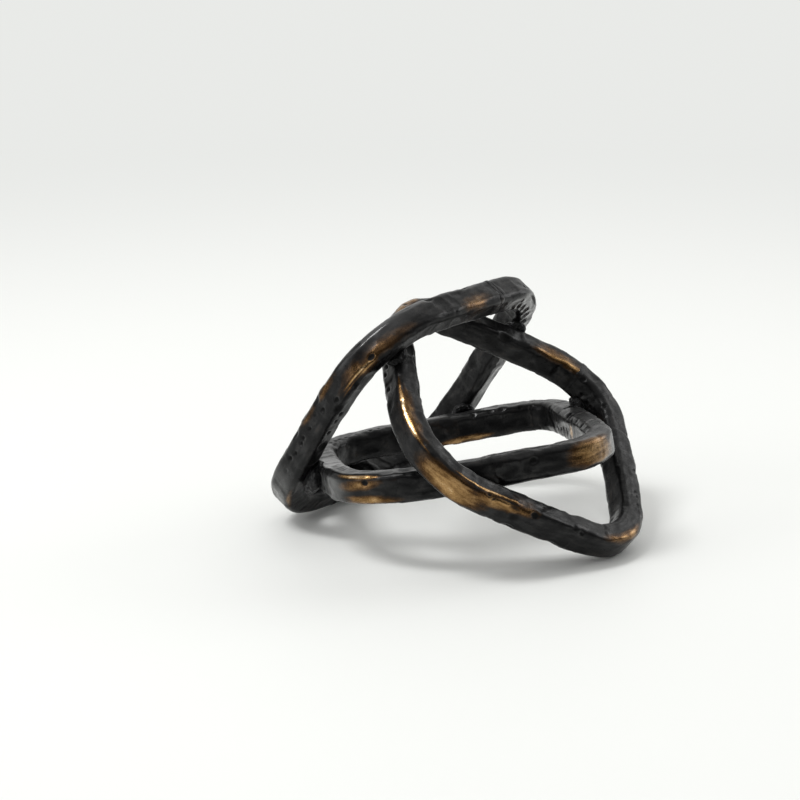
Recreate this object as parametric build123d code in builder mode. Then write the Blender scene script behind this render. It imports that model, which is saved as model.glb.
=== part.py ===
"""A welded knot of three loops, each bent from a hammered rounded bar, for a table or a shelf."""
from build123d import *
from math import atan2, copysign, cos, degrees, radians, sin, sqrt
import numpy as np
import os

# The bar that all three loops are bent from
bar_width = 17.6  # in the plane of the loop
bar_height = 20.0  # square to the plane of the loop
bar_corner_radius = 3.5

# The former that all three loops are bent round: four long bowed sides and four corners
loop_across = 170.0
side_bow_radius = 700.0
corner_radius = 44.0

# The left loop leans to the right and stands on one of its sides
left_length_share = 0.997
left_width_share = 0.994
left_corner_shares = (0.91, 1.22, 0.73, 1.05)
left_lean_angle = 56.0
left_heading_angle = 140.0
left_turn_angle = 0.0

# The right loop leans back and stands on one of its corners
right_length_share = 0.994
right_width_share = 1.029
right_corner_shares = (0.97, 1.00, 1.14, 1.20)
right_lean_angle = 39.4
right_heading_angle = -32.2
right_turn_angle = -45.0

# The middle loop lies nearly level, with an end inside each of the other two
middle_length_share = 0.979
middle_width_share = 1.029
middle_corner_shares = (1.15, 1.26, 0.88, 0.54)
middle_lean_angle = 10.3
middle_heading_angle = 143.1
middle_turn_angle = -42.0

# Where each bar was closed, as a share of the way round its loop
left_seam_share = 0.475
right_seam_share = 0.319
middle_seam_share = 0.817
seam_gap = 2.4

# About where two loops touch, as shares of the way round the first loop and the second
top_left_shares = (0.305, 0.658)
top_right_shares = (0.587, 0.409)
left_end_shares = (0.118, 0.185)
back_shares = (0.727, 0.895)
low_shares = (0.966, 0.079)
right_end_shares = (0.291, 0.744)
front_shares = (0.806, 0.369)

# How the loops are settled against each other: moves of the loop, and how freely a touch slides
settling_rounds = 12
sliding_damping_share = 0.2

# The welds that hold the loops together where they touch
fit_up_gap = 0.4
weld_radius = 9.5
weld_thickness = 8.0
weld_rounding_share = 0.45

# What is ground off underneath, so that the knot stands without rocking
ground_flat_depth = 0.5

UP = Vector(0, 0, 1)
DOWN = Vector(0, 0, -1)
RIGHT = Vector(1, 0, 0)
LEFT = Vector(-1, 0, 0)
FRONT = Vector(0, -1, 0)
BACK = Vector(0, 1, 0)


def loop_plane(lean, heading, turn):
    """The plane of a loop: tipped by lean towards heading, then turned within itself."""
    tip, way, spin = radians(lean), radians(heading), radians(turn)
    normal = Vector(sin(tip) * cos(way), sin(tip) * sin(way), cos(tip))
    level = Vector(-sin(way), cos(way), 0)
    downhill = level.cross(normal)
    return Plane(origin=(0, 0, 0), x_dir=downhill * cos(spin) + level * sin(spin), z_dir=normal)


def bearing(vector):
    """The direction of a flat vector, in degrees from X."""
    return degrees(atan2(vector.Y, vector.X))


def flat_line(length, width, corner_shares):
    """The closed line through the middle of a loop's bar, laid flat: four corners, four long sides."""
    along = side_bow_radius - length / 2
    across = side_bow_radius - width / 2
    sides = [Vector(-along, 0), Vector(0, -across), Vector(along, 0), Vector(0, across)]
    corners = []
    for index, share in enumerate(corner_shares):
        radius = corner_radius * share
        before, after = sides[index], sides[(index + 1) % 4]
        half_span = (after - before) / 2
        rise = sqrt((side_bow_radius - radius) ** 2 - half_span.length**2)
        centre = before + half_span + Vector(-half_span.Y, half_span.X).normalized() * rise
        corners.append((centre, radius, bearing(centre - before), bearing(centre - after)))
    with BuildLine(Plane.XY) as line:
        for index, (centre, radius, start, end) in enumerate(corners):
            next_start = corners[(index + 1) % 4][2]
            CenterArc(centre, radius, start, (end - start) % 360)
            CenterArc(sides[(index + 1) % 4], side_bow_radius, end, (next_start - end) % 360)
    return Wire(line.edges())


class Loop:
    """One bent bar: its plane, and the line through the middle of the bar."""

    def __init__(self, plane, flat):
        self.plane = plane
        self.flat = flat
        self.line = flat.moved(plane.location)

    def moved(self, offset):
        return Loop(Plane(self.plane.origin + offset, self.plane.x_dir, self.plane.z_dir), self.flat)

    def turned(self, turn):
        """The loop turned about its own middle, by the length of turn in degrees."""
        axis = Axis((0, 0, 0), turn)
        x_dir, z_dir = [way.rotate(axis, turn.length) for way in (self.plane.x_dir, self.plane.z_dir)]
        return Loop(Plane(self.plane.origin, x_dir, z_dir), self.flat)

    def edge(self, share, direction):
        """The middle of the rounding along the bar's edge that looks in the direction."""
        across = (self.line % share).cross(self.plane.z_dir)
        flat_width = bar_width / 2 - bar_corner_radius
        flat_height = bar_height / 2 - bar_corner_radius
        outward = across * copysign(flat_width, across.dot(direction))
        upward = self.plane.z_dir * copysign(flat_height, self.plane.z_dir.dot(direction))
        return (self.line @ share) + outward + upward

    def bar_reach(self, direction):
        """From the middle of the bar to its skin, in a direction square to its tangent."""
        across_plane = abs(direction.dot(self.plane.z_dir))
        in_plane = sqrt(max(direction.length**2 - across_plane**2, 0))
        flat_width = bar_width / 2 - bar_corner_radius
        flat_height = bar_height / 2 - bar_corner_radius
        return flat_width * in_plane + flat_height * across_plane + bar_corner_radius

    def ends(self, axis):
        """The lowest and highest reach of the bent bar along X, Y or Z."""
        box = self.line.bounding_box()
        reach = self.bar_reach(axis)
        return box.min.dot(axis) - reach, box.max.dot(axis) + reach


def make_loop(length_share, width_share, corner_shares, lean, heading, turn):
    flat = flat_line(length_share * loop_across, width_share * loop_across, corner_shares)
    return Loop(loop_plane(lean, heading, turn), flat)


class Touch:
    """Where an edge of a loop meets one of a fixed loop: a share of the way round each, and a side."""

    def __init__(self, fixed, shares, side):
        self.fixed = fixed
        self.fixed_share, self.moving_share = shares
        self.side = side

    def meet(self, moving):
        """Measure the two edges at the touch, and return how far the moving loop still has to go."""
        self.fixed_way = self.fixed.line % self.fixed_share
        self.moving_way = moving.line % self.moving_share
        direction = self.fixed_way.cross(self.moving_way).normalized()
        self.direction = direction if direction.dot(self.side) > 0 else direction * -1
        self.fixed_edge = self.fixed.edge(self.fixed_share, self.direction)
        self.moving_edge = moving.edge(self.moving_share, self.direction * -1)
        apart = self.direction.dot(self.moving_edge - self.fixed_edge)
        return 2 * bar_corner_radius + fit_up_gap - apart

    def slide(self, moving):
        """Slide along both edges towards where they pass nearest to each other."""
        self.meet(moving)
        between = self.moving_edge - self.fixed_edge
        likeness = self.fixed_way.dot(self.moving_way)
        spread = 1 - likeness**2 + sliding_damping_share
        on_fixed, on_moving = between.dot(self.fixed_way), between.dot(self.moving_way)
        fixed_slide = (on_fixed - likeness * on_moving) / spread
        moving_slide = (likeness * on_fixed - on_moving) / spread
        self.fixed_share = (self.fixed_share + fixed_slide / self.fixed.line.length) % 1
        self.moving_share = (self.moving_share + moving_slide / moving.line.length) % 1

    def middle(self):
        """The point half way between the two bars."""
        return (self.fixed_edge + self.moving_edge) / 2


def above_the_floor(loop):
    """How far the loop has to go up to stand on the ground flat of its lowest side or corner."""
    return -ground_flat_depth - loop.ends(UP)[0]


def settled(loop, touches, stands=False, may_turn=False):
    """The loop, moved to meet all its touches, and then turned by as little as that takes."""
    lever_length = loop_across / 2
    for settling_round in range(settling_rounds):
        moves, ways = [], []
        for touch in touches:
            if settling_round > 0:
                touch.slide(loop)
            moves.append(touch.meet(loop))
            lever = (touch.moving_edge - loop.plane.origin).cross(touch.direction)
            ways.append([*touch.direction, *(lever / lever_length)])
        if stands:
            moves.append(above_the_floor(loop))
            ways.append([*UP, 0, 0, 0])
        turns_now = may_turn and settling_round > 0
        if not turns_now:
            ways = [way[:3] for way in ways]
        step = np.linalg.lstsq(np.array(ways), np.array(moves), rcond=None)[0]
        if turns_now:
            loop = loop.turned(Vector(*[degrees(part / lever_length) for part in step[3:]]))
        loop = loop.moved(Vector(*step[:3]))
    return loop


left = make_loop(
    left_length_share, left_width_share, left_corner_shares,
    left_lean_angle, left_heading_angle, left_turn_angle,
)
right = make_loop(
    right_length_share, right_width_share, right_corner_shares,
    right_lean_angle, right_heading_angle, right_turn_angle,
)
middle = make_loop(
    middle_length_share, middle_width_share, middle_corner_shares,
    middle_lean_angle, middle_heading_angle, middle_turn_angle,
)

# Each loop is placed by what it rests on: the left one stands, the right one stands and leans
# on it, and the middle one is held between both
left = left.moved(UP * above_the_floor(left))
top_left = Touch(left, top_left_shares, DOWN)
top_right = Touch(left, top_right_shares, FRONT)
right = settled(right.moved(left.plane.origin), [top_left, top_right], stands=True)
left_end = Touch(left, left_end_shares, RIGHT)
back = Touch(left, back_shares, FRONT)
low = Touch(left, low_shares, UP)
right_end = Touch(right, right_end_shares, LEFT)
front = Touch(right, front_shares, BACK)
middle = middle.moved((left.plane.origin + right.plane.origin) / 2)
middle = settled(middle, [left_end, back, low, right_end, front], may_turn=True)

# The origin is under the middle of the whole knot
low_x, high_x, low_y, high_y = [
    pick(loop.ends(axis)[end] for loop in (left, right, middle))
    for axis in (RIGHT, BACK) for end, pick in ((0, min), (1, max))
]
centring = Vector(-(low_x + high_x) / 2, -(low_y + high_y) / 2)
left, right, middle = [loop.moved(centring) for loop in (left, right, middle)]


def bend_bar(loop):
    """Bend the bar all the way round the loop."""
    tangent = loop.line % 0
    across = tangent.cross(loop.plane.z_dir)
    with BuildSketch(Plane(origin=loop.line @ 0, x_dir=across, z_dir=tangent)) as section:
        RectangleRounded(bar_width, bar_height, bar_corner_radius)
    sweep(section.sketch, path=loop.line)


def slice_seam(loop, share, mode):
    """Cut away or keep the thin slice where the two ends of the bar meet."""
    seam_plane = Plane(origin=loop.line @ share, x_dir=loop.plane.z_dir, z_dir=loop.line % share)
    with BuildSketch(seam_plane) as slice_face:
        Rectangle(2 * bar_height, 2 * bar_width)
    extrude(slice_face.sketch, amount=seam_gap / 2, both=True, mode=mode)


def grind_flat():
    """Grind off what reaches below the floor."""
    split(bisect_by=Plane.XY, keep=Keep.TOP)


def lay_bead(touch):
    """Lay a rounded bead of weld around the place where two bars touch."""
    with BuildSketch(Plane(origin=touch.middle() + centring, z_dir=touch.direction)) as bead_face:
        Circle(weld_radius)
    extrude(bead_face.sketch, amount=weld_thickness / 2, both=True)
    rims = edges().filter_by(GeomType.CIRCLE)
    fillet(rims, weld_rounding_share * weld_thickness)


os.makedirs("parts", exist_ok=True)

with BuildPart() as left_loop:
    bend_bar(left)
    grind_flat()
    slice_seam(left, left_seam_share, Mode.SUBTRACT)
left_loop.part.label = "left_loop"
export_step(left_loop.part, "parts/left_loop.step")

with BuildPart() as right_loop:
    bend_bar(right)
    grind_flat()
    slice_seam(right, right_seam_share, Mode.SUBTRACT)
right_loop.part.label = "right_loop"
export_step(right_loop.part, "parts/right_loop.step")

with BuildPart() as middle_loop:
    bend_bar(middle)
    slice_seam(middle, middle_seam_share, Mode.SUBTRACT)
middle_loop.part.label = "middle_loop"
export_step(middle_loop.part, "parts/middle_loop.step")

with BuildPart() as left_loop_closing_weld:
    bend_bar(left)
    slice_seam(left, left_seam_share, Mode.INTERSECT)
left_loop_closing_weld.part.label = "left_loop_closing_weld"
export_step(left_loop_closing_weld.part, "parts/left_loop_closing_weld.step")

with BuildPart() as right_loop_closing_weld:
    bend_bar(right)
    slice_seam(right, right_seam_share, Mode.INTERSECT)
right_loop_closing_weld.part.label = "right_loop_closing_weld"
export_step(right_loop_closing_weld.part, "parts/right_loop_closing_weld.step")

with BuildPart() as middle_loop_closing_weld:
    bend_bar(middle)
    slice_seam(middle, middle_seam_share, Mode.INTERSECT)
middle_loop_closing_weld.part.label = "middle_loop_closing_weld"
export_step(middle_loop_closing_weld.part, "parts/middle_loop_closing_weld.step")

with BuildPart() as top_left_weld:
    lay_bead(top_left)
    add([left_loop.part, right_loop.part], mode=Mode.SUBTRACT)
top_left_weld.part.label = "top_left_weld"
export_step(top_left_weld.part, "parts/top_left_weld.step")

with BuildPart() as top_right_weld:
    lay_bead(top_right)
    add([left_loop.part, right_loop.part], mode=Mode.SUBTRACT)
top_right_weld.part.label = "top_right_weld"
export_step(top_right_weld.part, "parts/top_right_weld.step")

with BuildPart() as left_end_weld:
    lay_bead(left_end)
    add([left_loop.part, middle_loop.part], mode=Mode.SUBTRACT)
left_end_weld.part.label = "left_end_weld"
export_step(left_end_weld.part, "parts/left_end_weld.step")

with BuildPart() as back_weld:
    lay_bead(back)
    add([left_loop.part, middle_loop.part], mode=Mode.SUBTRACT)
back_weld.part.label = "back_weld"
export_step(back_weld.part, "parts/back_weld.step")

with BuildPart() as low_weld:
    lay_bead(low)
    add([left_loop.part, middle_loop.part], mode=Mode.SUBTRACT)
low_weld.part.label = "low_weld"
export_step(low_weld.part, "parts/low_weld.step")

with BuildPart() as right_end_weld:
    lay_bead(right_end)
    add([right_loop.part, middle_loop.part], mode=Mode.SUBTRACT)
right_end_weld.part.label = "right_end_weld"
export_step(right_end_weld.part, "parts/right_end_weld.step")

with BuildPart() as front_weld:
    lay_bead(front)
    add([right_loop.part, middle_loop.part], mode=Mode.SUBTRACT)
front_weld.part.label = "front_weld"
export_step(front_weld.part, "parts/front_weld.step")
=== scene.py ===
# %% [markdown]
# # Metal knot sculpture
# Three loops of hammered bar lean through one another and are welded where they touch. The
# packed construction model gives every piece its place and its size. This script only dresses
# it: it bends each bar afresh with a hammered skin, lays lumpy weld metal over the plain beads,
# and gives both a dark patina with bronze rubbed through.

# %% Load the construction model
import bpy
import math
import numpy as np
from mathutils import Matrix, Vector, noise


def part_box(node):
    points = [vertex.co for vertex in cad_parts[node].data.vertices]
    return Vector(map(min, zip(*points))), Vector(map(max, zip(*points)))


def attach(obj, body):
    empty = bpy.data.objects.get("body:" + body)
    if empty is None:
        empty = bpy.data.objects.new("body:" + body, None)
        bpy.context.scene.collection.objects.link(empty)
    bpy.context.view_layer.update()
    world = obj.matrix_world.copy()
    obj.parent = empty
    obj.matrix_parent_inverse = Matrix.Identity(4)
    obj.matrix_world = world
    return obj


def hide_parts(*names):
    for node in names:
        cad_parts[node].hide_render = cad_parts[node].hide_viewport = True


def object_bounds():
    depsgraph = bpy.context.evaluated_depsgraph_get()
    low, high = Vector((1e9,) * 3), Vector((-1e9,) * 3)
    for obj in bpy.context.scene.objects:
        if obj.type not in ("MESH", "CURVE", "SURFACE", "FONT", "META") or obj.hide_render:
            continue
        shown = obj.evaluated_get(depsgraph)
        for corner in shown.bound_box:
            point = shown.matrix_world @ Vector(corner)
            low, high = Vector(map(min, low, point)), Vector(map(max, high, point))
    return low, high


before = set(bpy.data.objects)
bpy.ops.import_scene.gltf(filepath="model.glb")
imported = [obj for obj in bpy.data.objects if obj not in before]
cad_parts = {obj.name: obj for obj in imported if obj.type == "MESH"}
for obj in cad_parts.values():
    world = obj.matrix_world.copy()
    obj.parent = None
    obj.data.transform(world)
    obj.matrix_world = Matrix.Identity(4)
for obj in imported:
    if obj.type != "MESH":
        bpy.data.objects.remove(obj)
cad_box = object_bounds()
print("nodes:", ", ".join(sorted(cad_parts)))

# %% [markdown]
# ## The camera
# The photo was taken from a standing person's height with a long lens: the loops show almost no
# perspective. The camera looks straight ahead and down, and the knot stands a little right of
# the middle of the frame and below it, so the camera is moved instead of shifted.

# %% Set the camera
view_elevation = math.radians(16.45)
view_distance = 2.0193
lens_length = 135.4
knot_right_of_centre = 0.03825
knot_below_centre = 0.08725
knot_origin = Vector((-0.00092, 0.01346, 0.00007))

ahead = Vector((0, math.cos(view_elevation), -math.sin(view_elevation)))
overhead = Vector((0, math.sin(view_elevation), math.cos(view_elevation)))
camera_place = -ahead * view_distance - Vector((knot_right_of_centre, 0, 0))
camera_place += overhead * knot_below_centre - knot_origin

bpy.ops.object.camera_add(location=camera_place, rotation=(math.pi / 2 - view_elevation, 0, 0))
camera = bpy.context.object
camera.data.lens = lens_length
camera.data.sensor_width = 36
camera.data.clip_end = 30
bpy.context.scene.camera = camera
print("camera at", [round(part, 3) for part in camera_place])

# %% [markdown]
# ## Bending the bars
# The real loops start as a straight bar of rounded square section, bent round a former: four
# long sides with a slight bow, and four tighter corners that differ a little from each other.
# Spin is the tool for that. The outline of the section is spun round the centre of each arc in
# turn. Spin slows down as its mesh grows, so it works in coarse steps, and one subdivision turns
# the result into the fine even grid that the hammering needs.

# %% The bar and the former
bar_width = 0.0176
bar_height = 0.0200
bar_corner_radius = 0.0045
loop_across = 0.170
side_bow_radius = 0.700
corner_radius = 0.044
seam_gap = 0.0024
spin_step = 0.00272
arris_steps = 2
fine_cuts = 3

# %% The arcs of a loop
def arcs_of(length, width, corner_shares):
    """The centre, radius, start and sweep of each arc, anticlockwise from the first corner."""
    along = side_bow_radius - length / 2
    across = side_bow_radius - width / 2
    sides = [Vector((-along, 0)), Vector((0, -across)), Vector((along, 0)), Vector((0, across))]
    corners = []
    for index, share in enumerate(corner_shares):
        radius = corner_radius * share
        before, after = sides[index], sides[(index + 1) % 4]
        half_span = (after - before) / 2
        rise = math.sqrt((side_bow_radius - radius) ** 2 - half_span.length_squared)
        centre = before + half_span + Vector((-half_span.y, half_span.x)).normalized() * rise
        leave, arrive = centre - before, centre - after
        start, end = math.atan2(leave.y, leave.x), math.atan2(arrive.y, arrive.x)
        corners.append((centre, radius, start, end))
    arcs = []
    for index, (centre, radius, start, end) in enumerate(corners):
        next_start = corners[(index + 1) % 4][2]
        arcs.append((centre, radius, start, (end - start) % math.tau))
        arcs.append((sides[(index + 1) % 4], side_bow_radius, end, (next_start - end) % math.tau))
    return arcs


def cut_arcs(arcs, start, stop):
    """The arcs from one length round the loop to another, with the first and last cut to fit."""
    total = sum(radius * sweep for _, radius, _, sweep in arcs)
    cut, travelled = [], 0.0
    for centre, radius, angle, sweep in arcs + arcs:
        low = max(start, travelled)
        high = min(stop, travelled + radius * sweep)
        if high > low:
            cut.append((centre, radius, angle + (low - travelled) / radius, (high - low) / radius))
        travelled += radius * sweep
    return cut, total


def point_on(arc, share=0.0):
    """A point on an arc and the way outwards there."""
    centre, radius, angle, sweep = arc
    out = Vector((math.cos(angle + share * sweep), math.sin(angle + share * sweep)))
    return centre + out * radius, out

# %% Spin a bar
def bend_bar(name, arcs):
    """Bend a rounded bar along the arcs, flat on the ground, and close both its ends."""
    place, out = point_on(arcs[0])
    bpy.ops.object.select_all(action="DESELECT")
    turn = math.atan2(out.y, out.x)
    bpy.ops.mesh.primitive_plane_add(size=1, location=(*place, 0), rotation=(math.pi / 2, 0, turn))
    bar = bpy.context.object
    bar.name = name
    bar.scale = (bar_width, bar_height, 1)
    bpy.ops.object.transform_apply(location=True, rotation=True, scale=True)
    bpy.ops.object.mode_set(mode="EDIT")
    bpy.ops.mesh.select_all(action="SELECT")
    bpy.ops.mesh.bevel(affect="VERTICES", offset=bar_corner_radius, segments=arris_steps)
    bpy.ops.object.mode_set(mode="OBJECT")
    long_edge = bar_width - 2 * bar_corner_radius - spin_step / 2
    for edge in bar.data.edges:
        ends = [bar.data.vertices[index].co for index in edge.vertices]
        edge.select = (ends[0] - ends[1]).length > long_edge
    for part in (*bar.data.vertices, *bar.data.polygons):
        part.select = False
    bpy.ops.object.mode_set(mode="EDIT")
    bpy.ops.mesh.select_mode(type="EDGE")
    bpy.ops.mesh.subdivide(number_cuts=round(long_edge / spin_step))
    bpy.ops.mesh.select_all(action="SELECT")
    for centre, radius, _, sweep in arcs:
        steps = max(1, round(radius * sweep / spin_step))
        bpy.ops.mesh.spin(steps=steps, angle=-sweep, center=(*centre, 0), axis=(0, 0, 1))
    bpy.ops.mesh.select_all(action="SELECT")
    bpy.ops.mesh.remove_doubles(threshold=spin_step / 100)
    bpy.ops.mesh.subdivide(number_cuts=fine_cuts)
    bpy.ops.mesh.normals_make_consistent(inside=False)
    bpy.ops.object.mode_set(mode="OBJECT")
    return bar

# %% [markdown]
# ## The bar laid out straight
# Hammer marks are easiest to place on a straight bar: so far along it, and so far round its
# section. These two helpers unroll the bent bar and roll it up again, so that a blow is set out
# as a smith would say it, and the bend then carries it to its place.

# %% Unroll and roll up
def straighten(points, arcs):
    """Each point of a flat bent bar as length along it, distance outwards and height."""
    straight = np.zeros((len(points), 3))
    nearest = np.full(len(points), np.inf)
    travelled = 0.0
    for centre, radius, angle, sweep in arcs:
        away = points[:, :2] - np.array(centre)
        outwards = np.hypot(away[:, 0], away[:, 1]) - radius
        turned = (np.arctan2(away[:, 1], away[:, 0]) - angle + turn_slack) % math.tau - turn_slack
        here = (turned < sweep + turn_slack) & (np.abs(outwards) < nearest)
        straight[here, 0] = travelled + radius * turned[here]
        straight[here, 1] = outwards[here]
        nearest[here] = np.abs(outwards[here])
        travelled += radius * sweep
    straight[:, 2] = points[:, 2]
    return straight


def outwards_of(straight):
    """The way out of the metal at each point of the untouched bar, and the core it starts from."""
    half = np.array((bar_width, bar_height)) / 2
    section = straight[:, 1:]
    core = np.clip(section, bar_corner_radius - half, half - bar_corner_radius)
    out = section - core
    return out / np.maximum(np.linalg.norm(out, axis=1), 1e-9)[:, None], core


def roll_up(straight, arcs):
    """The points of the straight bar, bent round the arcs again."""
    points = np.zeros_like(straight)
    travelled = 0.0
    for index, (centre, radius, angle, sweep) in enumerate(arcs):
        here = straight[:, 0] >= travelled if index else np.full(len(straight), True)
        turned = angle + (straight[here, 0] - travelled) / radius
        reach = radius + straight[here, 1]
        points[here, 0] = centre[0] + reach * np.cos(turned)
        points[here, 1] = centre[1] + reach * np.sin(turned)
        travelled += radius * sweep
    points[:, 2] = straight[:, 2]
    return points


turn_slack = 1e-4

# %% [markdown]
# ## The hammer
# The real surface was beaten by hand: shallow flats where a face was struck, notches where an
# arris was, and rows of small pits from a punch. One rounded tool makes all of them. It is pressed
# in to a depth, and the metal that stands above it is pushed down, so a blow only ever takes the
# skin inwards.

# %% Strike the bar
def section_spot(around):
    """A point on the outline of the section, and the way out of the metal there.

    0 is the outer face, 1 the top, 2 the inner face, 3 the bottom, and halves are the arrises."""
    turn = around * math.pi / 2
    half = np.array((bar_width, bar_height)) / 2
    way = np.array((math.cos(turn), math.sin(turn)))
    rim = way * half / np.abs(way).max()
    core = np.clip(rim, bar_corner_radius - half, half - bar_corner_radius)
    out = (rim - core) / np.linalg.norm(rim - core)
    return core + out * bar_corner_radius, out


def strike(straight, along, around, tool_length, tool_width, depth, slant=0.0):
    """Press a rounded tool in, and return how far each point was pushed."""
    spot, out = section_spot(around)
    lengthways = straight[:, 0] - along
    reach = math.sqrt(2 * max(tool_length, tool_width) * depth)
    near = np.flatnonzero(np.abs(lengthways) < reach)
    section = straight[near, 1:] - spot
    sideways = section @ np.array((-out[1], out[0]))
    first = lengthways[near] * math.cos(slant) + sideways * math.sin(slant)
    second = sideways * math.cos(slant) - lengthways[near] * math.sin(slant)
    tool = first ** 2 / (2 * tool_length) + second ** 2 / (2 * tool_width) - depth
    push = np.maximum(section @ out - tool, 0)
    straight[near, 1:] -= push[:, None] * out
    pushed = np.zeros(len(straight))
    pushed[near] = push
    return pushed

# %% [markdown]
# ## Beating a bar from end to end
# Three kinds of blow follow one another along each side: broad light ones leave flats on the
# face, long ones take the sharpness off the arris beside it, and a few short hard ones notch it.
# Last comes a row of punched pits. A hand never strikes twice alike, so each blow draws its place,
# tool and depth at random, from a seeded generator that gives the same bar on every run.

# %% Beat the bar
face_blows = {"apart": 0.013, "stray": 0.006, "around": 0.0, "sway": 0.38, "slant": 0.5,
              "length": (0.030, 0.090), "width": (0.012, 0.036), "depth": (0.00005, 0.00035)}
arris_blows = {"apart": 0.024, "stray": 0.011, "around": 0.5, "sway": 0.08, "slant": 0.0,
               "length": (0.040, 0.110), "width": (0.020, 0.070), "depth": (0.0001, 0.0006)}
notch_blows = {"apart": 0.055, "stray": 0.026, "around": 0.5, "sway": 0.10, "slant": 0.5,
               "length": (0.003, 0.009), "width": (0.012, 0.030), "depth": (0.0002, 0.0008)}
pits_in_row = (4, 9)
pit_row_sway = 0.25
pit_sway = 0.12
pit_spacing = (0.0040, 0.0100)
pit_length = (0.0014, 0.0026)
pit_width = (0.0010, 0.0018)
pit_depth = (0.0005, 0.0010)


def strike_along(straight, pressed, length, side, blows, chance):
    """Give one side of the bar its blows from end to end."""
    for along in np.arange(0, length, blows["apart"]):
        place = along + chance.uniform(-blows["stray"], blows["stray"])
        around = side + blows["around"] + chance.uniform(-blows["sway"], blows["sway"])
        tool = chance.uniform(*blows["length"]), chance.uniform(*blows["width"])
        slant = chance.uniform(-blows["slant"], blows["slant"]) if blows["slant"] else 0.0
        pressed += strike(straight, place, around, *tool, chance.uniform(*blows["depth"]), slant)


def punch_row(straight, pressed, length, side, chance):
    """Punch one row of small pits somewhere along a side."""
    place = chance.uniform(0, length)
    around = side + chance.uniform(-pit_row_sway, pit_row_sway)
    for _ in range(chance.integers(*pits_in_row)):
        place += chance.uniform(*pit_spacing)
        around += chance.uniform(-pit_sway, pit_sway)
        tool = chance.uniform(*pit_length), chance.uniform(*pit_width)
        pressed += strike(straight, place, around, *tool, chance.uniform(*pit_depth))


def beat(straight, length, seed):
    """Beat the whole bar, and return how far each point was pushed in all."""
    chance = np.random.default_rng(seed)
    pressed = np.zeros(len(straight))
    for side in range(4):
        for blows in face_blows, arris_blows, notch_blows:
            strike_along(straight, pressed, length, side, blows, chance)
        punch_row(straight, pressed, length, side, chance)
    return pressed

# %% [markdown]
# ## Waves in the metal
# Between the blows the bar isn't true either: it was drawn out by hand. A slow wave makes it a
# little thicker here and thinner there, and two quicker ones keep long faces from looking milled.
# They carry the skin up to about a millimetre above the plain solid. What would reach past the
# box of the construction model is clipped to it when the loop is placed.

# %% Let the skin wave
skin_rise = 0.00025
skin_waves = ({"height": 0.0013, "size": 0.024, "shift": 0},
              {"height": 0.0005, "size": 0.009, "shift": 50},
              {"height": 0.0003, "size": 0.0038, "shift": 90})


def wave(straight, size, shift):
    """A smooth random wave between 0 and 1, with bumps of about the size."""
    scaled = straight / size + shift
    return np.array([0.5 + 0.5 * noise.noise(Vector(point)) for point in scaled])


def let_it_wave(straight, outwards, seed):
    """Let the skin rise and sink in slow and quick waves."""
    rise = skin_rise
    for swell in skin_waves:
        crests = wave(straight, swell["size"], seed + swell["shift"]) - 0.5
        rise = rise + swell["height"] * crests
    straight[:, 1:] += outwards * rise[:, None]

# %% [markdown]
# ## Laps
# Where a smith draws out a bar in short lengths, each length ends in a low crooked step: a lap.
# In the photo they cross the arrises every few centimetres and catch the light. A lap is made
# here by sinking the metal on one side of a slanted line. A small wave makes the line crooked, and
# the sunk metal comes back to the old skin over the length of the lap's run.

# %% Lap the metal over
lap_edge = 0.0022
first_lap = 0.01
laps_apart = 0.036
lap_stray = 0.016
lap_sway = 0.30
lap_run = (0.012, 0.030)
lap_depth = (0.0002, 0.0008)
lap_slant = 0.7
lap_wander = 0.010
lap_wander_size = 0.007


def lap(straight, outwards, wander, along, around, run, depth, slant):
    """Sink the metal behind a slanted step: most at the step, and none where the run ends."""
    spot, out = section_spot(around)
    sideways = (straight[:, 1:] - spot) @ np.array((-out[1], out[0]))
    behind = (straight[:, 0] - along - slant * sideways) * math.copysign(1, run) + wander
    step = np.clip(behind / lap_edge, 0, 1)
    fade = np.clip(1 - behind / abs(run), 0, 1)
    sunk = depth * step * step * (3 - 2 * step) * fade * np.clip(outwards @ out, 0, 1)
    straight[:, 1:] -= outwards * sunk[:, None]


def lap_over(straight, outwards, length, seed):
    """Lay the laps along all four arrises."""
    chance = np.random.default_rng(seed + 100)
    wander = lap_wander * (wave(straight, lap_wander_size, seed + 70) - 0.5)
    for arris in range(4):
        for along in np.arange(first_lap, length, laps_apart):
            place = along + chance.uniform(-lap_stray, lap_stray)
            run = chance.choice((-1, 1)) * chance.uniform(*lap_run)
            around = arris + 0.5 + chance.uniform(-lap_sway, lap_sway)
            depth, slant = chance.uniform(*lap_depth), chance.uniform(-lap_slant, lap_slant)
            lap(straight, outwards, wander, place, around, run, depth, slant)

# %% [markdown]
# ## Rubbed places and painted highlights
# The dark finish was wiped back to the bronze where a hand would rub: along ridges and on the
# turned corners. Each rub is set out on the straight bar with its place, size and strength, and
# is kept on the mesh as an attribute that the finish reads later. The strongest, thinnest rubs
# also paint a highlight: they turn the bronze pale cream along a ridge, where the lamp glints.
# Beside the rubs the coat is burnished: it is still black, but glossy enough to catch the floor
# and the lamp.

# %% Rub the finish back
def rub(straight, outwards, along, around, half_length, half_width, strength, slant=0.0):
    """How far one rub wears the finish at each point, from 0 to its strength."""
    spot, out = section_spot(around)
    lengthways = straight[:, 0] - along
    sideways = (straight[:, 1:] - spot) @ np.array((-out[1], out[0]))
    first = lengthways * math.cos(slant) + sideways * math.sin(slant)
    second = sideways * math.cos(slant) - lengthways * math.sin(slant)
    away = (first / half_length) ** 2 + (second / half_width) ** 2
    facing = np.clip(outwards @ out * 2, 0, 1)
    return strength * np.clip(1 - away, 0, 1) * facing


def keep_attribute(piece, name, values):
    """Keep a number for each point on the mesh, for the finish to read."""
    attribute = piece.data.attributes.new(name, "FLOAT", "POINT")
    attribute.data.foreach_set("value", np.asarray(values, dtype=np.float32))

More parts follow.
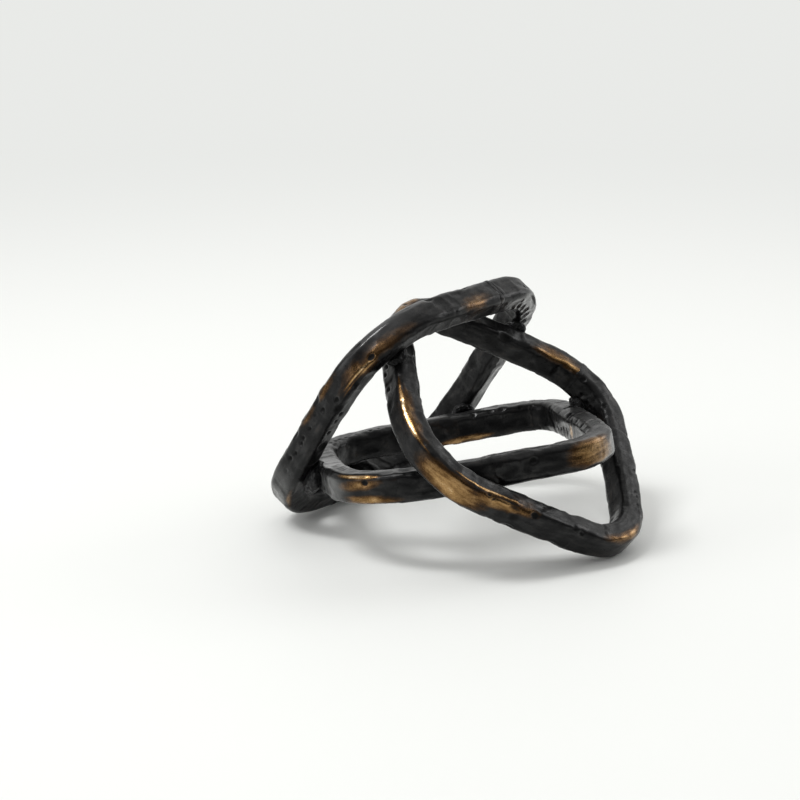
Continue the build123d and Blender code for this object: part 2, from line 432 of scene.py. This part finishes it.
# %% [markdown]
# ## Placing a loop
# A loop leans on the others. Its lean, the compass heading that it leans towards and its turn in
# its own plane are those of the construction model, to a few hundredths of a degree. Its box
# there says how far to move it, so that the new loop lies over the plain one.

# %% Lay a loop in its place
def loop_turn(lean, heading, turn):
    """The turn that takes a flat loop to its lean, heading and turn."""
    lean, heading, turn = (math.radians(part) for part in (lean, heading, turn))
    up = Vector((math.sin(lean) * math.cos(heading),
                 math.sin(lean) * math.sin(heading), math.cos(lean)))
    level = Vector((-math.sin(heading), math.cos(heading), 0))
    downhill = level.cross(up)
    across = downhill * math.cos(turn) + level * math.sin(turn)
    return Matrix((across, up.cross(across), up)).transposed()


def lie_over(node, points):
    """How far to move the points, so that their box lies over the plain loop's."""
    low, high = (np.array(part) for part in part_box(node))
    move = (low + high - points.min(0) - points.max(0)) / 2
    move[2] = high[2] - points[:, 2].max()
    return move


def mesh_points(piece):
    """The corners of a piece's mesh as rows of numbers."""
    points = np.empty(len(piece.data.vertices) * 3)
    piece.data.vertices.foreach_get("co", points)
    return points.reshape(-1, 3)


def set_points(piece, points):
    """Move the corners of a piece's mesh."""
    piece.data.vertices.foreach_set("co", points.ravel())
    piece.data.update()

# %% [markdown]
# ## From bar to loop
# The steps above come together here, in the order in which a smith would take them: bend the bar,
# let its skin wave, lap it and beat it, add the marks that the photo shows one by one, and wear
# the finish, with painted highlights among the rubs. All of it is done on the unrolled bar. Near
# the two ends every change fades out, so that the bar meets its closing weld without a step.

# %% Make a loop
weld_tuck = 0.0012
seam_fade = 0.0060
closing_lump_size = 0.0035
closing_lump_height = 0.0007
closing_crown = 0.0001
closing_end_sink = 0.0004


def make_loop(node, shape, marks, rubs_and_highlights, burnishes=()):
    """Bend, beat and place one loop, with the weld that closes it."""
    arcs = arcs_of(shape["length"] * loop_across, shape["width"] * loop_across, shape["corners"])
    _, around_all = cut_arcs(arcs, 0, 1)
    seam = shape["seam"] * around_all
    span, _ = cut_arcs(arcs, seam + seam_gap / 2, seam + around_all - seam_gap / 2)
    length = around_all - seam_gap
    turned = np.array(loop_turn(*shape["turned"]))

    def along_bar(share):
        """A share of the way round the loop, as a length from the start of the bar."""
        return (share - shape["seam"]) % 1 * around_all - seam_gap / 2

    loop = bend_bar(node + "_hammered", span)
    points = mesh_points(loop)
    move = lie_over(node, points @ turned.T)
    straight = straighten(points, span)
    outwards, core = outwards_of(straight)
    straight[:, 1:] = core + outwards * bar_corner_radius
    keep_along(loop, straight)
    untouched = straight.copy()
    let_it_wave(straight, outwards, shape["seed"])
    lap_over(straight, outwards, length, shape["seed"])
    pressed = beat(straight, length, shape["seed"])
    for share, *mark in marks:
        pressed += strike(straight, along_bar(share), *mark)
    from_seam = np.minimum(straight[:, 0], length - straight[:, 0])
    kept = np.clip(from_seam / seam_fade, 0, 1)[:, None] ** 0.5
    straight = untouched + (straight - untouched) * kept
    keep_attribute(loop, "pressed", pressed * 1000)
    # The rubs wear the finish and, where strongest, paint its highlights; the burnishes only gloss
    # it.
    for name, places in ("wear_and_highlight", rubs_and_highlights), ("burnished", burnishes):
        worn = np.zeros(len(straight))
        for share, *place in places:
            worn = np.maximum(worn, rub(straight, outwards, along_bar(share), *place))
        keep_attribute(loop, name, worn)
    finished = roll_up(straight, span) @ turned.T + move
    set_points(loop, np.clip(finished, *cad_box))
    settle_skin(loop)
    print(node, len(loop.data.vertices), "points, moved by", np.round(move * 1000, 2))
    close_loop(node, arcs, shape, around_all, turned, move)
    return loop


def keep_along(piece, straight):
    """Keep the place on the straight bar, so that streaks in the finish follow the bar."""
    attribute = piece.data.attributes.new("straight_bar", "FLOAT_VECTOR", "POINT")
    attribute.data.foreach_set("vector", straight.astype(np.float32).ravel())


def settle_skin(piece):
    """Soften the edges of the blows a little, and shade the skin smooth."""
    bpy.ops.object.select_all(action="DESELECT")
    piece.select_set(True)
    bpy.context.view_layer.objects.active = piece
    bpy.ops.object.mode_set(mode="EDIT")
    bpy.ops.mesh.select_all(action="SELECT")
    bpy.ops.mesh.vertices_smooth(factor=0.5, repeat=3)
    bpy.ops.object.mode_set(mode="OBJECT")
    bpy.ops.object.shade_smooth()


def close_loop(node, arcs, shape, around_all, turned, move):
    """Fill the seam with a little weld metal, sunk a touch below the bar."""
    middle = shape["seam"] * around_all
    reach = seam_gap / 2 + weld_tuck
    span, _ = cut_arcs(arcs, middle - reach, middle + reach)
    weld = bend_bar(node + "_closing_weld_lumpy", span)
    straight = straighten(mesh_points(weld), span)
    outwards, core = outwards_of(straight)
    straight[:, 1:] = core + outwards * bar_corner_radius
    keep_along(weld, straight)
    share = np.abs(straight[:, 0] / reach - 1)
    lumps = wave(straight, closing_lump_size, shape["seed"] + 7)
    depth = closing_end_sink * share ** 4 - closing_crown + closing_lump_height * (lumps - 0.5)
    straight[:, 1:] -= outwards * depth[:, None]
    keep_attribute(weld, "pressed", depth * 1000)
    keep_attribute(weld, "wear_and_highlight", np.zeros(len(depth)))
    set_points(weld, roll_up(straight, span) @ turned.T + move)
    bpy.ops.object.shade_smooth()
    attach(weld, "root")
    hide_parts(node + "_closing_weld")

# %% [markdown]
# ## The three loops
# One leans in from the left, one leans back on the right and one lies almost flat between them.
# They were bent round one former, so they differ little but in their corners. Each has its own
# marks and rubs, read one by one from the photo. A mark is a share of the way round the loop, a
# place round the section, and a tool: its length, its width, its depth and, where it is slanted,
# the slant. A rub is the same two places, then half its length, half its width, its strength and
# its slant. A rub strong enough to reach the pale cream colour paints a highlight on a ridge.

# %% The tools that recur
punch = (0.0024, 0.0016, 0.0013)
dent = (0.0100, 0.0080, 0.0013)
nick = (0.0022, 0.0100, 0.0012)


def marks_of(tool, *places):
    """One mark of the tool at each place."""
    return [(*place, *tool) for place in places]

# %% The left loop
left_shape = {"length": 0.997, "width": 0.994, "corners": (0.91, 1.22, 0.73, 1.05),
              "turned": (56.0, 140.0, 0.0), "seam": 0.475, "seed": 3}
left_rubs_and_highlights = [
    (0.432, 3.62, 0.0200, 0.0090, 0.40, 0.1),
    (0.282, 3.74, 0.0350, 0.0078, 0.43, 0.0),
    # painted highlight: a thin strong line that goes pale cream along an edge of the bend
    (0.266, 3.65, 0.0190, 0.0010, 1.25, 0.0),
    (0.262, 3.54, 0.0200, 0.0010, 0.80, 0.0),
    (0.224, 0.35, 0.0150, 0.0045, 0.50, 0.0),
    (0.180, 0.40, 0.0160, 0.0040, 0.42, 0.0),
    (0.068, 3.45, 0.0120, 0.0025, 0.60, 0.0),
    (0.760, 0.50, 0.0400, 0.0025, 0.80, 0.0),
    (0.640, 3.50, 0.0280, 0.0050, 0.85, 0.2),
]
left_marks = marks_of(
    punch, (0.225, 3.69), (0.202, 3.97), (0.189, 0.13), (0.170, 0.03), (0.154, 0.08),
    (0.147, 0.03), (0.131, 0.03), (0.120, 0.13), (0.102, 0.03), (0.281, 3.69), (0.195, 3.12),
    (0.177, 3.16), (0.207, 3.12))
left_marks += marks_of(
    dent, (0.201, 0.40), (0.149, 0.45), (0.371, 0.42), (0.432, 0.48), (0.215, 3.45), (0.155, 3.05))
left_ribs = [(0.506 + 0.0135 * turn, 2.75, 0.0060, 0.0160, 0.0006, 0.5) for turn in range(7)]
rounded_bend = [(0.285 + 0.013 * turn, 0.44, 0.120, 0.013, 0.0006) for turn in range(5)]
left_marks += left_ribs + rounded_bend
left_burnishes = [
    (0.308, 0.38, 0.0380, 0.0105, 1.00, 0.0),
    (0.082, 3.95, 0.0180, 0.0130, 0.80, 0.0),
    (0.556, 2.95, 0.0400, 0.0150, 1.00, 0.0),
    (0.660, 2.90, 0.0340, 0.0110, 0.65, 0.0),
]
left_loop = make_loop("left_loop", left_shape, left_marks, left_rubs_and_highlights, left_burnishes)

# %% The right loop
right_shape = {"length": 0.994, "width": 1.029, "corners": (0.97, 1.00, 1.14, 1.20),
               "turned": (39.4, -32.2, -45.0), "seam": 0.319, "seed": 11}
right_rubs_and_highlights = [
    # painted highlight: a thin strong line that goes pale cream along the ridge
    (0.742, 0.45, 0.0330, 0.0016, 1.60, 0.0),
    (0.745, 0.66, 0.0290, 0.0060, 0.58, 0.0),
    (0.828, 0.05, 0.0290, 0.0110, 0.84, 0.0),
    (0.832, 3.80, 0.0150, 0.0060, 1.00, 0.0),
    (0.880, 0.38, 0.0320, 0.0062, 0.74, 0.1),
    (0.862, 0.72, 0.0330, 0.0012, 1.10, 0.0),
    (0.045, 0.62, 0.0230, 0.0050, 0.60, 0.0),
    (0.342, 1.34, 0.0340, 0.0045, 0.74, 0.0),
    (0.352, 1.15, 0.0240, 0.0065, 0.55, 0.0),
    (0.565, 0.48, 0.0170, 0.0050, 0.80, 0.0),
    (0.480, 0.50, 0.0260, 0.0030, 0.80, 0.0),
    (0.200, 3.50, 0.0240, 0.0050, 0.80, 0.0),
]
right_marks = marks_of(
    punch, (0.661, 3.87), (0.670, 3.73), (0.695, 3.82), (0.864, 0.56), (0.983, 0.46),
    (0.310, 1.51), (0.260, 1.50))
right_marks += marks_of(
    dent, (0.656, 1.42), (0.707, 1.45), (0.904, 3.55), (0.960, 3.52), (0.973, 1.45), (0.428, 1.48))
right_marks += marks_of(nick, (0.161, 0.60), (0.219, 0.60), (0.350, 1.90))
ridge_creases = [(0.870, 0.60, 0.9, 0.0006, 0.0006), (0.952, 0.50, 0.9, 0.0005, 0.00045)]
ridge_hole = (0.922, 0.49, 0.0030, 0.0022, 0.0016)
right_marks += [*ridge_creases, ridge_hole]
right_loop = make_loop("right_loop", right_shape, right_marks, right_rubs_and_highlights)

# %% The middle loop
middle_shape = {"length": 0.979, "width": 1.029, "corners": (1.15, 1.26, 0.88, 0.54),
                "turned": (10.31, 143.13, -41.99), "seam": 0.817, "seed": 23}
middle_rubs_and_highlights = [
    # painted highlight: a thin strong line that goes pale cream along the upper ridge
    (0.287, 0.50, 0.0190, 0.0018, 1.35, 0.0),
    (0.289, 0.20, 0.0190, 0.0045, 0.62, 0.1),
    (0.300, 3.60, 0.0230, 0.0045, 0.80, 0.0),
    (0.543, 0.05, 0.0215, 0.0125, 0.80, 0.0),
    (0.900, 2.45, 0.0250, 0.0040, 0.80, 0.0),
    (0.676, 2.05, 0.0045, 0.0060, 0.95, 0.0),
    (0.050, 0.40, 0.0240, 0.0045, 0.85, 0.0),
    (0.750, 0.50, 0.0220, 0.0030, 0.80, 0.0),
]
middle_marks = marks_of(
    punch, (0.833, 1.55), (0.767, 1.60), (0.888, 1.52), (0.299, 0.30), (0.475, 0.25))
middle_marks += marks_of(
    nick, (0.804, 2.45), (0.691, 1.45), (0.626, 1.50), (0.655, 1.50), (0.672, 1.60))
middle_marks += [(0.185 + 0.0068 * turn, 1.0, 0.0012, 0.0150, 0.0005, 0.35) for turn in range(11)]
middle_burnishes = [
    (0.210, 1.00, 0.0340, 0.0110, 0.80, 0.0),
    (0.085, 1.80, 0.0160, 0.0070, 0.50, 0.0),
    (0.245, 3.95, 0.0180, 0.0130, 0.82, 0.0),
    (0.875, 1.50, 0.0240, 0.0070, 0.60, 0.0),
    (0.560, 3.95, 0.0170, 0.0130, 0.60, 0.0),
    (0.538, 0.80, 0.0150, 0.0070, 0.40, 0.0),
    (0.694, 2.00, 0.0120, 0.0100, 0.50, 0.0),
]
middle_loop = make_loop("middle_loop", middle_shape, middle_marks, middle_rubs_and_highlights, middle_burnishes)

# %% Let the loops stand for the plain ones
loops = {"left_loop": left_loop, "right_loop": right_loop, "middle_loop": middle_loop}
for node, loop in loops.items():
    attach(loop, "root")
    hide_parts(node)

# %% [markdown]
# ## The weld beads
# Seven beads of weld hold the loops together where they touch. Weld metal runs and freezes in
# lumps, so each bead is a ball squashed between its two bars and roughened along its skin. The
# direction is the way from one bar to the other. One bead ran downwards: it is larger than its
# plain solid, and hangs up to 10 mm beyond it.

# %% Lay the beads
bead_directions = {
    "top_left_weld": (0.367, 0.436, -0.822),
    "top_right_weld": (0.055, -0.882, -0.468),
    "left_end_weld": (0.917, 0.124, -0.380),
    "back_weld": (0.205, -0.867, -0.454),
    "low_weld": (-0.029, 0.062, 0.998),
    "right_end_weld": (-0.796, -0.277, -0.538),
    "front_weld": (-0.069, 0.857, -0.510),
}
bead_runs = {"left_end_weld": ((-0.002, -0.002, -0.007), 1.5)}
bead_radius = 0.0090
bead_half_thickness = 0.0042
bead_rim_swell = 0.5
large_lump, small_lump = 0.0045, 0.0016
small_lump_share = 0.45
lump_depth = 0.0022
first_bead_seed = 31


def lay_bead(node, direction, seed):
    """Squash a ball between two bars and let its skin run in lumps."""
    low, high = (Vector(part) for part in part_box(node))
    run, swell = bead_runs.get(node, ((0, 0, 0), 1.0))
    turn = Vector((0, 0, 1)).rotation_difference(Vector(direction))
    bpy.ops.object.select_all(action="DESELECT")
    bpy.ops.mesh.primitive_ico_sphere_add(subdivisions=6, radius=bead_radius)
    bead = bpy.context.object
    bead.name = node + "_lumpy"
    points = mesh_points(bead)
    ways = points / bead_radius
    lumps = wave(points, large_lump, seed) + small_lump_share * wave(points, small_lump, seed + 9)
    sunk = lump_depth * (1 - lumps / (1 + small_lump_share))
    points = ways * (bead_radius - sunk)[:, None]
    across = np.hypot(points[:, 0], points[:, 1]) / bead_radius
    points[:, 2] *= bead_half_thickness / bead_radius * (1 + bead_rim_swell * across ** 2)
    points = points * swell @ np.array(turn.to_matrix()).T
    set_points(bead, points + np.array((low + high) / 2) + run)
    keep_attribute(bead, "pressed", 1 - lumps)
    keep_attribute(bead, "wear_and_highlight", np.zeros(len(points)))
    bpy.ops.object.shade_smooth()
    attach(bead, "root")
    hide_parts(node)


for index, (node, direction) in enumerate(bead_directions.items()):
    lay_bead(node, direction, first_bead_seed + index)
print(len(bead_directions), "beads laid")

# %% [markdown]
# ## A small kit for finishes
# A finish is arithmetic on patterns: a rub minus a pit plus a little grain. Written with nodes
# alone that is a tangle, so this class lets a node's output be added and multiplied as a number
# is, and each sum adds its own Math node.

class Wire:
    """One output of a node, which can be used in sums."""

    def __init__(self, tree, socket):
        self.tree = tree
        self.socket = socket

    def maths(self, operation, first, second):
        return add_node(self.tree, "ShaderNodeMath", {0: first, 1: second}, operation=operation)

    def __add__(self, other):
        return self.maths("ADD", self, other)

    def __sub__(self, other):
        return self.maths("SUBTRACT", self, other)

    def __mul__(self, other):
        return self.maths("MULTIPLY", self, other)

    def __rsub__(self, other):
        return self.maths("SUBTRACT", other, self)

    __radd__ = __add__
    __rmul__ = __mul__


def add_node(tree, kind, values, output=0, **settings):
    """Add a node, set it, feed it values or wires, and return one of its outputs."""
    node = tree.nodes.new(kind)
    for name, setting in settings.items():
        setattr(node, name, setting)
    for name, value in values.items():
        if isinstance(value, Wire):
            tree.links.new(value.socket, node.inputs[name])
        else:
            node.inputs[name].default_value = value
    return Wire(tree, node.outputs[output])


def eased(wire, start, stop):
    """0 below the start, 1 above the stop, and a soft step between."""
    values = {"Value": wire, "From Min": start, "From Max": stop}
    return add_node(wire.tree, "ShaderNodeMapRange", values, interpolation_type="SMOOTHSTEP")


def blended(share, first, second):
    """A colour that goes from the first to the second."""
    values = {0: share, 6: first, 7: second}
    return add_node(share.tree, "ShaderNodeMix", values, output=2, data_type="RGBA")


def grain(tree, place, scale, detail=3.0, roughness=0.5):
    """A cloudy pattern between 0 and 1."""
    values = {"Vector": place, "Scale": scale, "Detail": detail, "Roughness": roughness}
    return add_node(tree, "ShaderNodeTexNoise", values)

# %% [markdown]
# ## Dark patina over bronze
# The finish is a thin dark coat, almost black, with the satin gloss of wax. Where it is rubbed
# through there is warm metal: brown at the fringe and bronze in the middle. The pale cream on the
# ridges is a painted highlight: the lamp's glint on the bronze, put into its colour.
# The bronze is metallic and the coat isn't, and one pattern drives both: the rubs set out above,
# broken up by clouds, by specks and by streaks that follow the bar. Deep blows keep their dark
# coat, because a cloth doesn't reach into them. The wax lies unevenly, and where the coat is
# burnished the shader gets its clear coat, so those places shine and stay black.

# %% Make the finish
fringe_brown = (0.080, 0.040, 0.014, 1)
bronze_colour = (0.42, 0.255, 0.105, 1)
# painted highlight: the pale cream that the strongest rubs reach, in place of the lamp's glint
painted_highlight_bronze = (0.88, 0.72, 0.50, 1)
black_dirt = (0.002, 0.002, 0.002, 1)
coat_lightening = 2.2
along_the_bar = (0.25, 1.0, 1.0)


def read_attribute(tree, name, output="Fac"):
    """An attribute that was kept on the mesh."""
    return add_node(tree, "ShaderNodeAttribute", {}, output=output, attribute_name=name)


def patina(name, coat, coat_roughness, rub_gain, grain_depth):
    """A dark waxed coat that wears through to bronze."""
    material = bpy.data.materials.new(name)
    material.use_nodes = True
    tree = material.node_tree
    shader = tree.nodes["Principled BSDF"]
    shader.inputs["Specular IOR Level"].default_value = 0.15
    shader.inputs["Sheen Weight"].default_value = 0.28
    shader.inputs["Sheen Roughness"].default_value = 0.20
    shader.inputs["Coat Roughness"].default_value = 0.24
    place = add_node(tree, "ShaderNodeTexCoord", {}, output="Object")
    wear_and_highlight = read_attribute(tree, "wear_and_highlight")
    pressed = read_attribute(tree, "pressed")
    burnished = read_attribute(tree, "burnished")
    drawn = add_node(tree, "ShaderNodeVectorMath",
                     {0: read_attribute(tree, "straight_bar", "Vector"), 1: along_the_bar},
                     operation="MULTIPLY")
    clouds = grain(tree, place, 90)
    specks = grain(tree, place, 900, detail=4.0, roughness=0.65)
    streaks = grain(tree, drawn, 420)

    unevenness = (clouds - 0.5) * 1.3 + (specks - 0.5) * 0.5 + (streaks - 0.5) * 1.1
    # The worn level also carries the painted highlights: the strongest rubs push it into pale
    # cream.
    bare = wear_and_highlight * rub_gain + unevenness * (wear_and_highlight * 0.8 + 0.25) - pressed * 0.25
    cavity = eased(pressed, 0.45, 1.0)
    bronze = eased(bare, 0.00, 0.56)
    bright = eased(bare, 0.30, 1.15)
    # painted highlight: where the rubs are strongest, the colour goes pale cream along the ridges
    painted_highlight = eased(bare, 0.95, 1.45)
    lighter_coat = tuple(part * coat_lightening for part in coat[:3]) + (1,)
    metal = blended(painted_highlight, blended(bright, fringe_brown, bronze_colour), painted_highlight_bronze)
    colour = blended(bronze, blended(clouds, coat, lighter_coat), metal)
    colour = blended(cavity, colour, black_dirt)

    roughness = coat_roughness + (specks - 0.5) * 0.26 - bronze * 0.04 + cavity * 0.35
    uneven_wax = eased(clouds * 0.35 + streaks * 0.35 + specks * 0.3, 0.45, 0.60)
    skin = {"Height": specks * 0.6 + streaks * 0.4, "Strength": 0.6, "Distance": grain_depth}
    wires = {
        "Base Color": colour,
        "Roughness": roughness,
        "Metallic": bronze * (1 - cavity),
        "Coat Weight": (burnished + uneven_wax * 0.35) * (1 - cavity),
        "Normal": add_node(tree, "ShaderNodeBump", skin, output="Normal"),
    }
    for socket, wire in wires.items():
        tree.links.new(wire.socket, shader.inputs[socket])
    return material


bar_patina = patina("bar_patina", (0.0034, 0.0034, 0.0036, 1), 0.31, 1.0, 0.00028)
weld_patina = patina("weld_patina", (0.0040, 0.0040, 0.0043, 1), 0.31, 0.8, 0.0005)

# %% Put the finish on
for piece in [thing for thing in bpy.data.objects if thing.type == "MESH"]:
    finish = weld_patina if "weld" in piece.name else bar_patina
    if not piece.material_slots:
        piece.data.materials.append(finish)
    for slot in piece.material_slots:
        slot.material = finish
    print(piece.name, "has", finish.name)

# %% [markdown]
# ## The floor
# The knot stands on a plain pale floor that runs out of sight. Near the knot it is plain paint,
# which keeps the shadow. Further off it fades to one even pale tone, which only the camera and
# reflections see, so that it adds no light to the knot.

# %% Lay the floor
floor_paint = (0.88, 0.89, 0.87, 1)
far_tone = (0.815, 0.825, 0.805, 1)
floor_width = 24
paint_alone, tone_alone = 0.35, 1.3

bpy.ops.object.select_all(action="DESELECT")
bpy.ops.mesh.primitive_plane_add(size=floor_width)
floor = bpy.context.object
floor.name = "floor"
paint = bpy.data.materials.new("pale_floor")
paint.use_nodes = True
boards = paint.node_tree
boards.nodes["Principled BSDF"].inputs["Base Color"].default_value = floor_paint
boards.nodes["Principled BSDF"].inputs["Roughness"].default_value = 0.6
from_middle = add_node(boards, "ShaderNodeVectorMath",
                       {0: add_node(boards, "ShaderNodeTexCoord", {}, output="Object")},
                       output="Value", operation="LENGTH")
rays = [add_node(boards, "ShaderNodeLightPath", {}, output="Is " + kind + " Ray")
        for kind in ("Camera", "Glossy", "Transmission")]
far_off = (rays[0] + rays[1] + rays[2]) * eased(from_middle, paint_alone, tone_alone)
even_tone = add_node(boards, "ShaderNodeEmission", {"Color": far_tone}, output="Emission")
lit = Wire(boards, boards.nodes["Principled BSDF"].outputs["BSDF"])
shown = add_node(boards, "ShaderNodeMixShader", {0: far_off, 1: lit, 2: even_tone})
boards.links.new(shown.socket, boards.nodes["Material Output"].inputs["Surface"])
floor.data.materials.append(paint)

# %% [markdown]
# ## The light
# It is the light of a photographer's room: a wide bright ceiling, a long soft lamp high on the
# left that draws the shadow, and dimmer ones low at both sides, which put a sheen on the turned
# ends. All three hang well away, because a near lamp would leave a hot spot on the floor. The
# near side of the room stays dim, which keeps the faces towards the viewer black.

# %% Hang the lamps
aim = Vector((0, 0, 0.06))


def hang_lamp(name, place, width, height, power):
    """Hang a soft lamp that looks at the knot."""
    place = Vector(place)
    turn = (aim - place).to_track_quat("-Z", "Y").to_euler()
    bpy.ops.object.light_add(type="AREA", location=place, rotation=turn)
    lamp = bpy.context.object
    lamp.name = name
    lamp.data.shape = "RECTANGLE"
    lamp.data.size = width
    lamp.data.size_y = height
    lamp.data.energy = power
    print(name, "hangs", round((aim - place).length, 2), "m away")


hang_lamp("key_lamp", (-1.92, -0.28, 3.60), 0.84, 1.50, 71)
hang_lamp("left_lamp", (-2.60, -0.70, 0.90), 1.6, 1.6, 15)
hang_lamp("right_lamp", (2.54, 1.00, 1.10), 1.6, 1.6, 21)

# %% Light the room
ceiling_strength, wall_strength, dim_strength = 0.72, 0.50, 0.05

world = bpy.data.worlds.new("room")
bpy.context.scene.world = world
world.use_nodes = True
room = world.node_tree
looking = add_node(room, "ShaderNodeTexCoord", {}, output="Generated")
backwards = add_node(room, "ShaderNodeSeparateXYZ", {"Vector": looking}, output="Y")
upwards = add_node(room, "ShaderNodeSeparateXYZ", {"Vector": looking}, output="Z")
ceiling = eased(upwards + backwards * 0.25, 0.10, 0.90)
far_wall = eased(backwards, 0.3, 0.95)
strength = ceiling * ceiling_strength + far_wall * wall_strength + dim_strength
room.links.new(strength.socket, room.nodes["Background"].inputs["Strength"])
room.nodes["Background"].inputs["Color"].default_value = (1.0, 1.0, 0.985, 1)
bpy.context.scene.view_settings.view_transform = "Standard"
